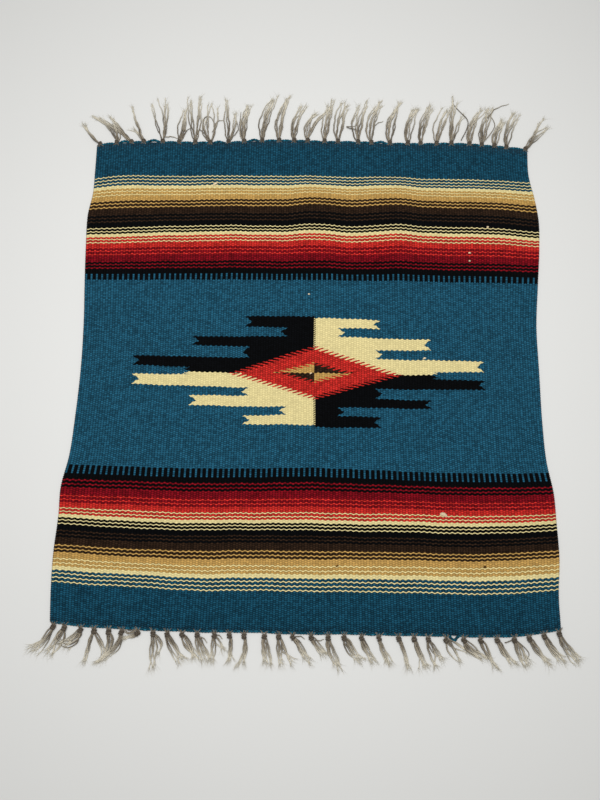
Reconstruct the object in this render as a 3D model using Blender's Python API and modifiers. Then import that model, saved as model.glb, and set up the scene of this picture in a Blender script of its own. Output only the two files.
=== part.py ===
"""A small hand-woven wool rug, lying flat on the floor.

One thick sheet of weft-faced cloth has its warp ends knotted into tassels along both ends: long ones along the
far end and short ones along the near end. Each row of tassels is fused to a narrow strip of the cloth's end.
+X runs across the cloth, +Y along its warp to the far end, +Z is up, and the floor is at z = 0.
"""

import math
from collections import namedtuple

import bmesh
import bpy
import numpy as np
from mathutils import Matrix

MM = 0.001  # every size and place below is in millimetres

# The sheet
THICKNESS = 2.5
CELLS_ACROSS = 30
CELLS_ALONG = 30
GAP = 0.3  # between the sheet and each end's strip

# The strip that carries a row of tassels
STRIP_WIDTH = 3.0
STRIP_HEIGHT = 1.9
STRIP_LIFT = 0.35  # its underside's height above the floor

# A knot, as half sizes
KNOT_ACROSS = 2.3
KNOT_ALONG = 2.9
KNOT_UP = 1.65
KNOT_LIFT = 0.2
KNOT_SIDES = 6
KNOT_RINGS = 4

# The gathered warps between the near end's edge and each knot
NECK_WIDTH_AT_EDGE = 7.0
NECK_WIDTH_AT_KNOT = 3.2
NECK_HEIGHT = 1.2
NECK_SIDES = 4

# A strand: three sides, its flat base on the floor
STRAND_WIDTH = 1.35
STRAND_HEIGHT = 1.1
STRAND_STATIONS = (0.0, 0.3, 0.62, 1.0)  # shares of its reach
STRAND_TAPER = (1.0, 1.0, 0.9, 0.55)
ROOT_HEIGHT = 1.15  # of the first strand's start inside its knot
ROOT_STEP = 0.13  # how much higher each next strand starts
FAN_TURN = 0.62 * math.pi  # strands open quickly and draw in a little at their tips
LEAN_BEND = 0.35  # the share of a tassel's lean that grows towards its tips
LENGTH_SHARES = (0.86, 1.0, 0.93, 0.97)  # of the strands, left to right

# The selvedges: where the left and right edges are, at places along the cloth
Selvedge = namedtuple("Selvedge", "along left right")
SELVEDGES = (
    Selvedge(-268, -255.3, 253.6),
    Selvedge(-235, -257.7, 253.8),
    Selvedge(-200, -258.7, 257.2),
    Selvedge(-160, -257.2, 257.0),
    Selvedge(-135, -257.8, 256.6),
    Selvedge(-100, -251.9, 251.3),
    Selvedge(-60, -249.6, 249.8),
    Selvedge(0, -248.4, 250.4),
    Selvedge(50, -250.0, 251.0),
    Selvedge(100, -253.4, 256.1),
    Selvedge(145, -255.9, 260.8),
    Selvedge(180, -256.8, 262.3),
    Selvedge(205, -253.3, 259.6),
    Selvedge(235, -253.3, 254.6),
    Selvedge(271, -253.9, 255.2),
)

# The two ends: where their outer edges are, at places across the cloth
Ends = namedtuple("Ends", "across near far")
ENDS = (
    Ends(-254, -267.2, 268.6),
    Ends(-220, -270.0, 271.6),
    Ends(-170, -272.0, 273.6),
    Ends(-110, -273.3, 272.8),
    Ends(-60, -273.6, 276.6),
    Ends(0, -274.0, 276.6),
    Ends(60, -273.8, 276.0),
    Ends(120, -274.5, 274.8),
    Ends(175, -274.3, 275.4),
    Ends(215, -273.0, 273.0),
    Ends(254, -266.8, 269.0),
)

# Soft ripples where the sheet stands off the floor, each a smooth mound of the given half sizes
Ripple = namedtuple("Ripple", "across along half_across half_along rise")
RIPPLES = (
    Ripple(6, 172, 38, 92, 5.0),
    Ripple(97, 172, 42, 92, 5.2),
    Ripple(-150, 158, 55, 70, 1.6),
    Ripple(190, -12, 30, 125, 1.8),
    Ripple(-190, -77, 55, 60, 1.6),
    Ripple(150, -215, 60, 50, 1.4),
)

# Tassels, left to right: where the knot is across the end, how far the tips lean to the right of it, how far
# they reach out from it, and how wide they fan
Tassel = namedtuple("Tassel", "across lean reach fan")
FAR_TASSELS = (
    Tassel(-250, -22, 27, 7),
    Tassel(-231, -30, 41, 9),
    Tassel(-213.5, -32, 38, 9),
    Tassel(-199, -21, 49, 9),
    Tassel(-176.5, -9, 59, 15),
    Tassel(-157, 5, 49, 10),
    Tassel(-138, -3, 62, 12),
    Tassel(-120, -1, 54, 13),
    Tassel(-98.5, 1, 56, 12),
    Tassel(-80, 5, 53, 11),
    Tassel(-58.5, 11, 62, 11),
    Tassel(-38.5, 12, 63, 11),
    Tassel(-20.5, 12, 49, 10),
    Tassel(-4.5, 17, 45, 10),
    Tassel(15.5, 11, 60, 10),
    Tassel(31.5, 10, 59, 10),
    Tassel(55.5, 11, 56, 10),
    Tassel(71, 14, 58, 10),
    Tassel(93, 15, 58, 10),
    Tassel(114.5, 13, 51, 10),
    Tassel(129.5, 14, 56, 10),
    Tassel(148.5, 16, 52, 10),
    Tassel(166, 15, 61, 11),
    Tassel(187.5, 12, 49, 10),
    Tassel(202, 14, 55, 10),
    Tassel(217, 14, 37, 9),
    Tassel(231.5, 16, 51, 10),
    Tassel(251, 27, 40, 13),
)
NEAR_TASSELS = (
    Tassel(-252, -22, 27, 12),
    Tassel(-240, -9, 17, 7),
    Tassel(-224.5, -9, 19, 8),
    Tassel(-211.5, -3, 28, 9),
    Tassel(-196.5, -4, 31, 9),
    Tassel(-183.5, -5, 29, 9),
    Tassel(-167.5, -6, 10, 5),
    Tassel(-152, 3, 30, 10),
    Tassel(-138, 13, 26, 9),
    Tassel(-123.5, 14, 23, 8),
    Tassel(-108, 10, 25, 8),
    Tassel(-90.5, 4, 25, 9),
    Tassel(-76.5, -1, 25, 8),
    Tassel(-61.5, -3, 28, 8),
    Tassel(-41.5, 3, 27, 9),
    Tassel(-27, 8, 26, 9),
    Tassel(-13, 14, 24, 8),
    Tassel(5.5, 13, 17, 7),
    Tassel(22, 12, 29, 9),
    Tassel(38, 15, 24, 8),
    Tassel(55.5, 13, 23, 8),
    Tassel(72.5, 12, 25, 9),
    Tassel(92.5, 11, 27, 9),
    Tassel(107.5, 9, 28, 8),
    Tassel(121.5, 9, 27, 9),
    Tassel(139, 13, 19, 8),
    Tassel(157, 18, 21, 8),
    Tassel(173.5, 17, 25, 8),
    Tassel(190, 15, 23, 8),
    Tassel(207, 11, 26, 8),
    Tassel(222.5, 17, 24, 8),
    Tassel(237.5, 18, 24, 8),
    Tassel(251, 19, 28, 10),
)

# Each end's fringe: which way is outwards, how many strands a tassel has, and how far its knots stand off
Fringe = namedtuple("Fringe", "node edge outward tassels strands knot_offset necks")
FRINGES = (
    Fringe("long_fringe", "far", 1, FAR_TASSELS, 4, 2.0, False),
    Fringe("short_fringe", "near", -1, NEAR_TASSELS, 4, 4.2, True),
)


def column(rows, name):
    """One named column of a table."""
    return np.array([getattr(row, name) for row in rows], dtype=float)


def curve_through(stations, values, at):
    """A smooth curve through the values at the stations, read at any places: a cubic between each two."""
    slopes = np.gradient(values, stations)
    at = np.clip(at, stations[0], stations[-1])
    left = np.clip(np.searchsorted(stations, at) - 1, 0, len(stations) - 2)
    span = stations[left + 1] - stations[left]
    t = (at - stations[left]) / span
    start = (1 + 2 * t) * (1 - t) ** 2 * values[left] + t * (1 - t) ** 2 * span * slopes[left]
    finish = t**2 * (3 - 2 * t) * values[left + 1] + t**2 * (t - 1) * span * slopes[left + 1]
    return start + finish


def end_edge(name, across):
    """How far along the cloth the outer edge of its near or far end lies."""
    return curve_through(column(ENDS, "across"), column(ENDS, name), across)


def selvedge(name, along):
    """Where the left or right edge is, at a place along the cloth."""
    return curve_through(column(SELVEDGES, "along"), column(SELVEDGES, name), along)


def underside(across, along):
    """The underside's height: on the floor, but for the ripples."""
    height = np.zeros_like(across)
    for ripple in RIPPLES:
        x = np.clip((across - ripple.across) / ripple.half_across, -1, 1)
        y = np.clip((along - ripple.along) / ripple.half_along, -1, 1)
        height += ripple.rise * (np.cos(math.pi * x) + 1) * (np.cos(math.pi * y) + 1) / 4
    return height


def on_cloth(u, along):
    """Points at shares u of the width, from -1 at the left selvedge to 1 at the right one."""
    left = selvedge("left", along)
    right = selvedge("right", along)
    across = left + (right - left) * (u + 1) / 2
    return np.stack([across, along, underside(across, along)], axis=-1)


def shaped_grid(name, cells_across, cells_along, placed):
    """An open grid mesh whose points, from -1 to 1 each way, are moved to where the function places them."""
    mesh = bpy.data.meshes.new(name)
    grid = bmesh.new()
    bmesh.ops.create_grid(grid, x_segments=cells_across, y_segments=cells_along, size=1)
    share = np.array([point.co[:2] for point in grid.verts])
    for point, place in zip(grid.verts, placed(share[:, 0], share[:, 1])):
        point.co = place * MM
    grid.to_mesh(mesh)
    grid.free()
    return mesh


def wool(name, colour, roughness):
    """A plain rough fibre material."""
    material = bpy.data.materials.new(name)
    material.use_nodes = True
    shader = material.node_tree.nodes["Principled BSDF"]
    shader.inputs["Base Color"].default_value = (*colour, 1)
    shader.inputs["Roughness"].default_value = roughness
    shader.inputs["Metallic"].default_value = 0
    return material


def add_object(name, mesh, collection, material=None):
    """A mesh object in a collection."""
    added = bpy.data.objects.new(name, mesh)
    collection.objects.link(added)
    if material:
        mesh.materials.append(material)
    return added


def thicken(piece, thickness):
    """Gives an open sheet its thickness, upwards from its underside."""
    solidify = piece.modifiers.new("Thickness", "SOLIDIFY")
    solidify.thickness = thickness * MM
    solidify.offset = 1


def build_sheet(collection, material):
    """The woven cloth, up to the gaps that part it from the fringes' strips."""
    inset = STRIP_WIDTH + GAP

    def placed(u, v):
        guide = u * ENDS[-1].across
        near = end_edge("near", guide) + inset
        far = end_edge("far", guide) - inset
        return on_cloth(u, near + (far - near) * (v + 1) / 2)

    mesh = shaped_grid("woven_cloth", CELLS_ACROSS, CELLS_ALONG, placed)
    thicken(add_object("woven_cloth", mesh, collection, material), THICKNESS)


def build_strip(fringe, collection, material):
    """The narrow strip of the cloth's end that holds a row of tassels."""

    def placed(u, v):
        edge = end_edge(fringe.edge, u * ENDS[-1].across)
        along = edge - fringe.outward * STRIP_WIDTH * (1 - fringe.outward * v) / 2
        points = on_cloth(u, along)
        points[:, 2] = STRIP_LIFT
        return points

    mesh = shaped_grid(fringe.node, CELLS_ACROSS, 1, placed)
    strip = add_object(fringe.node, mesh, collection, material)
    thicken(strip, STRIP_HEIGHT)
    return strip


def knot_place(fringe, tassel):
    """A knot's centre, in millimetres."""
    along = float(end_edge(fringe.edge, tassel.across)) + fringe.outward * fringe.knot_offset
    return tassel.across, along, KNOT_LIFT + KNOT_UP


def build_knots(fringe, collection):
    """The knots of one row: flattened balls, turned to face the way their tassels lean."""
    mesh = bpy.data.meshes.new("knots")
    knots = bmesh.new()
    for tassel in fringe.tassels:
        turn = -fringe.outward * math.atan2(tassel.lean, tassel.reach)
        place = Matrix.Translation([value * MM for value in knot_place(fringe, tassel)])
        stretch = Matrix.Diagonal((KNOT_ACROSS * MM, KNOT_ALONG * MM, KNOT_UP * MM, 1))
        bmesh.ops.create_uvsphere(
            knots,
            u_segments=KNOT_SIDES,
            v_segments=KNOT_RINGS,
            radius=1,
            matrix=place @ Matrix.Rotation(turn, 4, "Z") @ stretch,
        )
    knots.to_mesh(mesh)
    knots.free()
    return add_object(fringe.node + "_knots", mesh, collection)


def build_necks(fringe, collection):
    """The warps of each tassel, drawn together from the cloth's edge into the knot."""
    mesh = bpy.data.meshes.new("necks")
    necks = bmesh.new()
    for tassel in fringe.tassels:
        across, along, height = knot_place(fringe, tassel)
        start = float(end_edge(fringe.edge, across)) - fringe.outward * STRIP_WIDTH / 2
        place = Matrix.Translation((across * MM, (start + along) / 2 * MM, height * MM))
        flatten = Matrix.Diagonal((1, 1, NECK_HEIGHT / NECK_WIDTH_AT_KNOT, 1))
        point_out = Matrix.Rotation(-fringe.outward * math.pi / 2, 4, "X")
        bmesh.ops.create_cone(
            necks,
            cap_ends=True,
            segments=NECK_SIDES,
            radius1=NECK_WIDTH_AT_EDGE / 2 * MM,
            radius2=NECK_WIDTH_AT_KNOT / 2 * MM,
            depth=abs(along - start) * MM,
            matrix=place @ flatten @ point_out,
        )
    necks.to_mesh(mesh)
    necks.free()
    return add_object(fringe.node + "_necks", mesh, collection)


def strand_section(collection):
    """The strands' triangular section, as a closed curve: a base on the floor and a ridge above it."""
    outline = bpy.data.curves.new("strand_section", "CURVE")
    outline.dimensions = "2D"
    spline = outline.splines.new("POLY")
    corners = ((-STRAND_WIDTH / 2, 0), (STRAND_WIDTH / 2, 0), (0, STRAND_HEIGHT))
    spline.points.add(len(corners) - 1)
    for point, (side, up) in zip(spline.points, corners):
        point.co = (side * MM, up * MM, 0, 1)
    spline.use_cyclic_u = True
    return add_object("strand_section", outline, collection)


def strand_path(fringe, tassel, strand):
    """A strand's points from inside its knot, down to the floor and out along it to the tip."""
    side = 2 * strand / (fringe.strands - 1) - 1
    length = LENGTH_SHARES[strand]
    across, along, _ = knot_place(fringe, tassel)
    slant = math.atan2(tassel.lean, tassel.reach)
    points = []
    for share in STRAND_STATIONS:
        t = share * length
        lean = tassel.lean * t * (1 - LEAN_BEND + LEAN_BEND * t)
        spread = side * tassel.fan / 2 * math.sin(FAN_TURN * t)
        outwards = tassel.reach * t - spread * math.sin(slant)
        height = ROOT_HEIGHT + ROOT_STEP * strand if share == 0 else 0
        points.append((across + lean + spread * math.cos(slant), along + fringe.outward * outwards, height))
    return points


def build_strands(fringe, strand, section, collection):
    """One strand of every tassel in a row, as a mesh swept along their paths."""
    name = f"{fringe.node}_strand_{strand + 1}"
    paths = bpy.data.curves.new(name, "CURVE")
    paths.dimensions = "3D"
    paths.twist_mode = "Z_UP"
    paths.bevel_mode = "OBJECT"
    paths.bevel_object = section
    paths.use_fill_caps = True
    for tassel in fringe.tassels:
        spline = paths.splines.new("POLY")
        spline.points.add(len(STRAND_STATIONS) - 1)
        for point, place, taper in zip(spline.points, strand_path(fringe, tassel, strand), STRAND_TAPER):
            point.co = (*[value * MM for value in place], 1)
            point.radius = taper
    guide = add_object(name + "_path", paths, collection)
    depsgraph = bpy.context.evaluated_depsgraph_get()
    mesh = bpy.data.meshes.new_from_object(guide.evaluated_get(depsgraph))
    swept = bmesh.new()
    swept.from_mesh(mesh)
    bmesh.ops.remove_doubles(swept, verts=swept.verts, dist=0.00001)
    bmesh.ops.recalc_face_normals(swept, faces=swept.faces)
    swept.to_mesh(mesh)
    swept.free()
    strands = add_object(name, mesh, collection)
    strands.matrix_world = guide.matrix_world
    bpy.data.objects.remove(guide)
    return strands


def build_fringe(fringe, section, collection, helpers, material):
    """A strip with its knots and strands, fused into one piece."""
    strip = build_strip(fringe, collection, material)
    roots = bpy.data.collections.new(fringe.node + " tassels")
    helpers.children.link(roots)
    build_knots(fringe, roots)
    if fringe.necks:
        build_necks(fringe, roots)
    for strand in range(fringe.strands):
        build_strands(fringe, strand, section, roots)
    for helper in roots.objects:
        helper.hide_render = True
        helper.display_type = "WIRE"
    union = strip.modifiers.new("Tassels", "BOOLEAN")
    union.operation = "UNION"
    union.operand_type = "COLLECTION"
    union.collection = roots
    union.solver = "EXACT"


def main():
    for old in list(bpy.data.objects):
        bpy.data.objects.remove(old)
    pieces = bpy.data.collections.new("Chimayo rug")
    helpers = bpy.data.collections.new("Helpers")
    for collection in (pieces, helpers):
        bpy.context.scene.collection.children.link(collection)
    weave = wool("wool_weave", (0.014, 0.117, 0.212), 0.9)
    warp = wool("warp_yarn", (0.254, 0.216, 0.188), 0.92)
    build_sheet(pieces, weave)
    section = strand_section(helpers)
    section.hide_render = True
    section.display_type = "WIRE"
    for fringe in FRINGES:
        build_fringe(fringe, section, pieces, helpers, warp)


main()
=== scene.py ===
import functools
import math

import bpy
import numpy as np
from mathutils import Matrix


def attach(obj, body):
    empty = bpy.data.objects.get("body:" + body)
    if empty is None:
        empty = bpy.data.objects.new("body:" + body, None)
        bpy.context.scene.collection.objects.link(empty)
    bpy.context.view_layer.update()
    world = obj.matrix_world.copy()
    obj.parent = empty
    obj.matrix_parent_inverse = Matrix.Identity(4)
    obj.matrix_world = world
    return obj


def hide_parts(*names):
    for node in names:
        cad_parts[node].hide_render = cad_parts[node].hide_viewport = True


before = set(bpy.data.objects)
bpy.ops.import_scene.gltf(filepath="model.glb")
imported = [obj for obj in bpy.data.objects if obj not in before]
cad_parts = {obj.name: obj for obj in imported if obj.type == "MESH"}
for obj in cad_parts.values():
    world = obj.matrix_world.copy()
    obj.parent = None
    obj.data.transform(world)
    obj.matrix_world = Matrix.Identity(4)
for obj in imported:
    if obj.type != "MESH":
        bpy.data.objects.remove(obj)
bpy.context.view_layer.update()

# Places are in millimetres on the rug: x across it, y along its warp to the far end, z up from the floor.
mm = 0.001
up = np.array([0.0, 0.0, 1.0])


# Shared by all pieces

def linearColour(hexValue):
    # sRGB hex to linear: c/12.92 below 0.04045, and ((c + 0.055)/1.055)^2.4 above it
    parts = [int(hexValue[i:i + 2], 16) / 255 for i in (1, 3, 5)]
    return tuple(c / 12.92 if c <= 0.04045 else ((c + 0.055) / 1.055) ** 2.4 for c in parts) + (1.0,)


def addNode(tree, kind, links=None, **settings):
    # adds one node: links holds its inputs, each a value, a socket, or a node whose first live output is used
    made = tree.nodes.new("ShaderNode" + kind)
    for name, value in settings.items():
        setattr(made, name, value)
    for key, value in (links or {}).items():
        if isinstance(value, bpy.types.Node):
            value = next(socket for socket in value.outputs if socket.enabled)
        if isinstance(value, bpy.types.NodeSocket):
            tree.links.new(value, made.inputs[key])
        else:
            made.inputs[key].default_value = value
    return made


def newMaterial(name, roughness, sheen):
    # an empty node tree with its shader and output, for a fibre finish
    material = bpy.data.materials.new(name)
    material.use_nodes = True
    shader = material.node_tree.nodes["Principled BSDF"]
    shader.inputs["Roughness"].default_value = roughness
    shader.inputs["Sheen Weight"].default_value = sheen
    shader.inputs["Sheen Roughness"].default_value = 0.5
    shader.inputs["Specular IOR Level"].default_value = 0.06  # wool scatters, with hardly a highlight
    return material, functools.partial(addNode, material.node_tree), shader


def curveThrough(stations, values, at):
    # a smooth curve through the values: between two stations, the cubic with both ends' values and slopes
    stations = np.asarray(stations, float)
    values = np.asarray(values, float)
    slopes = np.gradient(values, stations, axis=0)
    at = np.clip(at, stations[0], stations[-1])
    left = np.clip(np.searchsorted(stations, at) - 1, 0, len(stations) - 2)
    span = stations[left + 1] - stations[left]
    t = (at - stations[left]) / span
    t, span = (part.reshape(part.shape + (1,) * (values.ndim - 1)) for part in (t, span))
    start = (1 + 2 * t) * (1 - t) ** 2 * values[left] + t * (1 - t) ** 2 * span * slopes[left]
    return start + t**2 * (3 - 2 * t) * values[left + 1] + t**2 * (t - 1) * span * slopes[left + 1]


def makePiece(name, points, faces, material, attributes):
    # a mesh piece from arrays, smooth, in metres, with its point attributes, riding on the rug's one body
    mesh = bpy.data.meshes.new(name)
    mesh.from_pydata(np.asarray(points).reshape(-1, 3) * mm, [], faces)
    mesh.polygons.foreach_set("use_smooth", np.ones(len(mesh.polygons), bool))
    for key, values in attributes.items():
        attribute = mesh.attributes.new(key, "FLOAT_VECTOR", "POINT")
        attribute.data.foreach_set("vector", np.asarray(values, np.float32).ravel())
    mesh.materials.append(material)
    mesh.update()
    piece = bpy.data.objects.new(name, mesh)
    bpy.context.scene.collection.objects.link(piece)
    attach(piece, "root")
    return piece


def tubeArrays(centres, radii, sides, reference, flatten=1.0):
    # tubes along many paths at once: point = centre + radius (cos a * side + flatten * sin a * other), where
    # side is square to the path and to the reference, and other is square to both
    centres = np.asarray(centres, float)
    along = np.gradient(centres, axis=1)
    along /= np.linalg.norm(along, axis=2, keepdims=True)
    side = np.cross(along, np.broadcast_to(reference, along.shape))
    side /= np.linalg.norm(side, axis=2, keepdims=True)
    other = np.cross(side, along)
    angle = np.arange(sides) * 2 * math.pi / sides
    ring = np.cos(angle)[:, None] * side[:, :, None] + flatten * np.sin(angle)[:, None] * other[:, :, None]
    return centres[:, :, None] + np.asarray(radii)[:, :, None, None] * ring


def tubeFaces(tubes, stations, sides):
    # four-sided faces between neighbouring rings, and one face closing each end, all pointing out
    t, s, k = np.meshgrid(np.arange(tubes), np.arange(stations - 1), np.arange(sides), indexing="ij")
    first = (t * stations + s) * sides
    near, far = first + k, first + (k + 1) % sides
    walls = np.stack([near, near + sides, far + sides, far], axis=-1).reshape(-1, 4)
    start = np.arange(tubes)[:, None] * stations * sides + np.arange(sides)
    end = start + (stations - 1) * sides
    return walls.tolist() + start.tolist() + end[:, ::-1].tolist()


def tubeYarnMap(centres, sides, tone):
    # what the yarn's finish reads at each point: share along it, turn around it, and the tone of the yarn
    count, stations = centres.shape[:2]
    share = np.broadcast_to(np.linspace(0, 1, stations)[None, :, None], (count, stations, sides))
    turn = np.broadcast_to(np.arange(sides) / sides, (count, stations, sides))
    tones = np.broadcast_to(np.asarray(tone)[:, None, None], (count, stations, sides))
    return np.stack([share, turn, tones], axis=-1)


def tubeLengthMap(centres, sides):
    # the length along each tube in millimetres at each point, and how far round to its flank the point is,
    # which sets the painted shade on a yarn's flanks
    flank = np.abs(np.cos(np.arange(sides) * 2 * math.pi / sides))
    step = np.linalg.norm(np.diff(centres, axis=1), axis=2)
    length = np.concatenate([np.zeros((len(centres), 1)), np.cumsum(step, axis=1)], axis=1)
    spread = np.broadcast_to(length[:, :, None], (*length.shape, sides))
    return np.stack([spread, np.broadcast_to(flank, spread.shape), np.zeros_like(spread)], axis=-1)


# The woven cloth

clothPlan = {
    "warps": 176,  # ribs across the cloth, 2.89 mm apart
    "farPicks": 268,  # weft passes from the middle of the blue field to the far end
    "nearPicks": 264,
    "thickness": 2.5,
    "grooveShare": 0.7,  # the thickness left in a groove between two ribs
    "columnsPerWarp": 4,
    "rows": 48,
    "guideHalf": 254.0,  # half the width that the pick lines below are given over
    "middleAcross": 1.0,
    "waistHalf": 249.5,  # half the width at the middle, drawn in by the weft
    "waistFlare": 5.0,  # and how much more it is at the ends
    "halfLength": 270.0,
    # the slow drift of handwork along and across the cloth, each wave with its size, its turns in radians a
    # warp and a pick, and its start
    "driftAlong": ((0.28, 0.19, 0.021, 0.0), (0.22, 0.47, -0.013, 2.0)),
    "driftAcross": ((0.5, 0.083, 0.0, 3.5), (0.35, 0.05, 0.037, 0.0)),
    "edgeRadius": 1.0,  # the weft where it turns round the outer warps
    "edgeInset": 0.55,
    "beadOut": 0.25,  # how much further out each turn stands
    "beadSwell": 0.14,  # and how much thicker it is, as a share
    "lastRadius": 1.4,  # the thick weft that closes each end
    "lastInset": 0.7,
    "farScallop": 2.2,  # how far the last weft bulges between two knots
    "nearScallop": 0.5,
}

# where the left and right selvedges are, at places along the cloth
selvedges = {
    "along": (-268, -235, -200, -160, -135, -100, -60, 0, 50, 100, 145, 180, 205, 235, 271),
    "left": (
        -255.3, -257.7, -258.7, -257.2, -257.8, -251.9, -249.6, -248.4, -250.0, -253.4, -255.9, -256.8,
        -253.3, -253.3, -253.9,
    ),
    "right": (
        253.6, 253.8, 257.2, 257.0, 256.6, 251.3, 249.8, 250.4, 251.0, 256.1, 260.8, 262.3,
        259.6, 254.6, 255.2,
    ),
}

# how far along the cloth some weft passes lie, at places across it: the picks count from the field's middle,
# and the passes bow a little, as the beater left them
pickLines = {
    "across": (-254, -225, -185, -145, -105, -65, -25, 15, 55, 95, 135, 175, 215, 254),
    268: (268.5, 271.5, 273.5, 273, 273.5, 276.5, 277, 276.5, 276, 275, 275, 275.5, 273, 269),
    218: (216, 220, 220.5, 221, 222, 222.5, 222.5, 222.5, 222.5, 222.5, 221.5, 221, 220.5, 218),
    200: (197, 200, 201, 202, 203.5, 204.5, 205, 205.5, 205.5, 205.5, 205, 204, 203.5, 200),
    167: (161.5, 163, 164.5, 166, 168, 168, 168.5, 168.5, 169, 169, 169.5, 169, 168, 164),
    147: (142.5, 143.5, 145, 146, 148, 148.5, 149, 148.5, 148.5, 149, 149, 148.5, 148, 145),
    128: (122.5, 123.5, 124.5, 125.5, 127, 127.5, 127.5, 127.5, 127.5, 128, 128, 127.5, 127, 125.5),
    110: (105, 105.5, 106, 107, 108, 108, 108.5, 108.5, 108.5, 109, 108.5, 108.5, 108, 107.5),
    60: (57.5, 57.5, 57.5, 57, 57, 57, 57.5, 57.5, 57, 56.5, 56, 55.5, 55, 55),
    0: (-5, -5.5, -6.5, -7.5, -8, -8, -7.5, -7, -7.5, -8, -8, -8, -8, -8),
    -60: (-66.5, -66.5, -67, -67, -67, -67, -66.5, -66.5, -67, -67.5, -68, -68.5, -68.5, -68),
    -107: (
        -115.5, -116.5, -117.5, -118, -118.5, -117.5, -116.5, -116, -117, -118.5, -119, -119.5, -119, -117.5,
    ),
    -140: (-149, -150, -151, -152, -152.5, -151.5, -150.5, -150.5, -150.5, -151, -151.5, -152, -151, -149),
    -157: (-163.5, -165, -167, -168, -168, -167.5, -166.5, -167, -167, -167, -167.5, -167.5, -166.5, -163.5),
    -178: (-182.5, -184, -186, -186.5, -186.5, -185.5, -185, -185.5, -185.5, -186, -187, -187, -185, -182),
    -197: (-200, -201.5, -204, -205, -205.5, -204.5, -204, -204.5, -203.5, -203.5, -204, -203.5, -202, -199),
    -217: (-220, -222, -223.5, -225.5, -226.5, -226, -225.5, -226, -225.5, -225.5, -226, -226, -224.5, -221),
    -264: (-267, -270, -271.5, -273, -273.5, -273.5, -274, -274, -274, -274, -274.5, -274.5, -273, -267),
}

# soft ripples where the cloth stands off the floor: middle across and along, half sizes, rise
ripples = (
    (6, 172, 38, 92, 5.0),
    (97, 172, 42, 92, 5.2),
    (-150, 158, 55, 70, 1.6),
    (190, -12, 30, 125, 1.8),
    (-190, -77, 55, 60, 1.6),
    (150, -215, 60, 50, 1.4),
)

# places where the last weft stands off the cloth's ends: across, how far, half width
farLoops = ((-222, 1.9, 5), (-187, 2.2, 6), (-110, 1.2, 4), (-68, 1.8, 5), (83, 1.6, 5))
nearLoops = ((147, 5.0, 3.5), (-160, 0.8, 6), (66, 0.8, 6))

# small lumps of stray wool spun into the weft: across, along, half length, half width, slant, and its kind
flecks = (
    (141, -156.5, 4.2, 2.0, -20, "pale"),
    (203.5, 169, 1.5, 1.0, 10, "pale"),
    (181.2, 136.6, 1.6, 0.9, 0, "pale"),
    (180.8, 126.7, 1.2, 0.9, 0, "pale"),
    (126.2, 11.4, 1.9, 1.0, 15, "pale"),
    (-0.8, 84.3, 1.2, 0.8, 0, "pale"),
    (-112, 219.5, 3.4, 1.3, 35, "pale"),
    (2.2, -7.2, 1.5, 0.7, 30, "pale"),
    (180.9, -208, 1.6, 1.1, 0, "straw"),
    (31, -209, 1.5, 1.0, 30, "straw"),
    (194.5, -201, 1.2, 0.9, 0, "straw"),
)
# what the weave attribute's third value says of the weft there
weftKinds = {"woven": 0.0, "pale": 1.0, "straw": 2.0, "last": 3.0}


def rippleHeight(x, y):
    # each ripple is a mound: rise (cos(pi x') + 1)(cos(pi y') + 1) / 4, with x' and y' from -1 to 1 over it
    height = np.zeros(np.broadcast(x, y).shape)
    for across, along, halfAcross, halfAlong, rise in ripples:
        a = np.clip((x - across) / halfAcross, -1, 1)
        b = np.clip((y - along) / halfAlong, -1, 1)
        height += rise * (np.cos(math.pi * a) + 1) * (np.cos(math.pi * b) + 1) / 4
    return height


def slowDrift(waves, warp, pick):
    # the sum of the waves, each size * sin(warp turn + pick turn + start)
    return sum(size * np.sin(warp * byWarp + pick * byPick + start) for size, byWarp, byPick, start in waves)


def clothPlace(warp, pick):
    # where warp and pick cross, seen from above: y from the pick lines, which bow, and x = middle + u * half
    # width, u from -1 to 1 over the warps, with the selvedges' own waves dying away inwards as |u|^4. Both
    # have the slow drift of handwork, which fades to nothing at the selvedges
    lines = sorted(key for key in pickLines if key != "across")
    guide = (np.asarray(warp) / clothPlan["warps"] * 2 - 1) * clothPlan["guideHalf"]
    atLines = curveThrough(pickLines["across"], np.array([pickLines[line] for line in lines]).T, guide)
    y = curveThrough(lines, atLines.T, np.asarray(pick, float))
    across, along = np.asarray(warp)[None, :], np.asarray(pick)[:, None]
    share = across / clothPlan["warps"]
    inside = np.sin(math.pi * share) ** 0.5
    y = y + inside * slowDrift(clothPlan["driftAlong"], across, along)
    left = curveThrough(selvedges["along"], selvedges["left"], y)
    right = curveThrough(selvedges["along"], selvedges["right"], y)
    middle = clothPlan["middleAcross"]
    half = clothPlan["waistHalf"] + clothPlan["waistFlare"] * (y / clothPlan["halfLength"]) ** 2
    u = 2 * share - 1
    leftWave = (left + half - middle) * np.clip(-u, 0, 1) ** 4
    rightWave = (right - half - middle) * np.clip(u, 0, 1) ** 4
    x = middle + u * half + leftWave + rightWave
    return x + inside * slowDrift(clothPlan["driftAcross"], across, along), y


def turnsAtSelvedges():
    # the weft turns round the outer warp at both sides, one bead for two picks:
    # radius = edge radius (1 + swell cos(pi pick)), and each bead stands out further by cos(pi pick)
    pick = np.arange(-clothPlan["nearPicks"], clothPlan["farPicks"] + 0.1, 0.5)
    paths, radii, weaves = [], [], []
    for warp, inward in ((0.0, 1), (float(clothPlan["warps"]), -1)):
        x, y = clothPlace(np.array([warp]), pick)
        bead = np.cos(math.pi * pick)
        x = x[:, 0] + inward * (clothPlan["edgeInset"] - clothPlan["beadOut"] * bead)
        z = rippleHeight(x, y[:, 0]) + clothPlan["thickness"] / 2
        paths.append(np.stack([x, y[:, 0], z], axis=-1))
        radii.append(clothPlan["edgeRadius"] * (1 + clothPlan["beadSwell"] * bead))
        weaves.append(np.stack([np.full(len(pick), warp + inward * 0.5), pick, 0 * pick], axis=-1))
    return np.array(paths), np.array(radii), np.array(weaves)


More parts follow.
